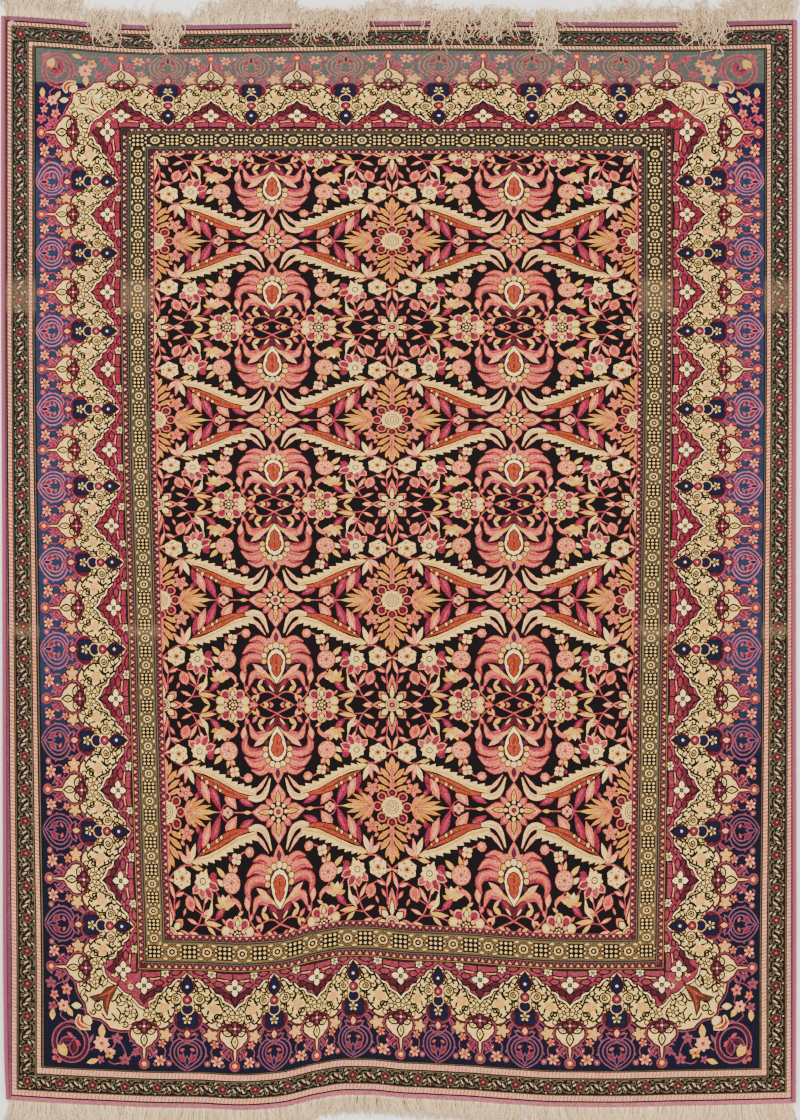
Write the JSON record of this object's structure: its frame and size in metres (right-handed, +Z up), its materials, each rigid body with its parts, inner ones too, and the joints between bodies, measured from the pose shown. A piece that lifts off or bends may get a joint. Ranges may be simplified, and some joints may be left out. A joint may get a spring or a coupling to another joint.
{
  "type": "persian rug",
  "caption": "Flat knotted wool rug with wide figured borders, overcast side cords and a cotton fringe at both ends, lying face up.",
  "frame": {"origin": "on the floor, under the middle of the whole outline with its fringes", "axes": "+Y along the rug's length towards the fallen-over fringe, +X across its width, +Z up out of the pile"},
  "size_m": [1.4304, 2.0624, 0.0228],
  "materials": {
    "wool_pile": "short cut wool pile in about a dozen dyed colours, matt with a soft sheen",
    "side_wool": "mauve wool yarn wrapped closely round the side cords",
    "cotton_warp": "undyed twisted cotton, cream to straw",
    "ring_metal": "small pale rings, dulled"
  },
  "bodies": {
    "root": {"knotted_body": "wool_pile", "side_cord_left": "side_wool", "side_cord_right": "side_wool", "fringe_upper": "cotton_warp", "fringe_lower": "cotton_warp", "sewn_ring_1": "ring_metal", "sewn_ring_2": "ring_metal", "sewn_ring_3": "ring_metal", "sewn_ring_4": "ring_metal"}
  },
  "joints": []
}
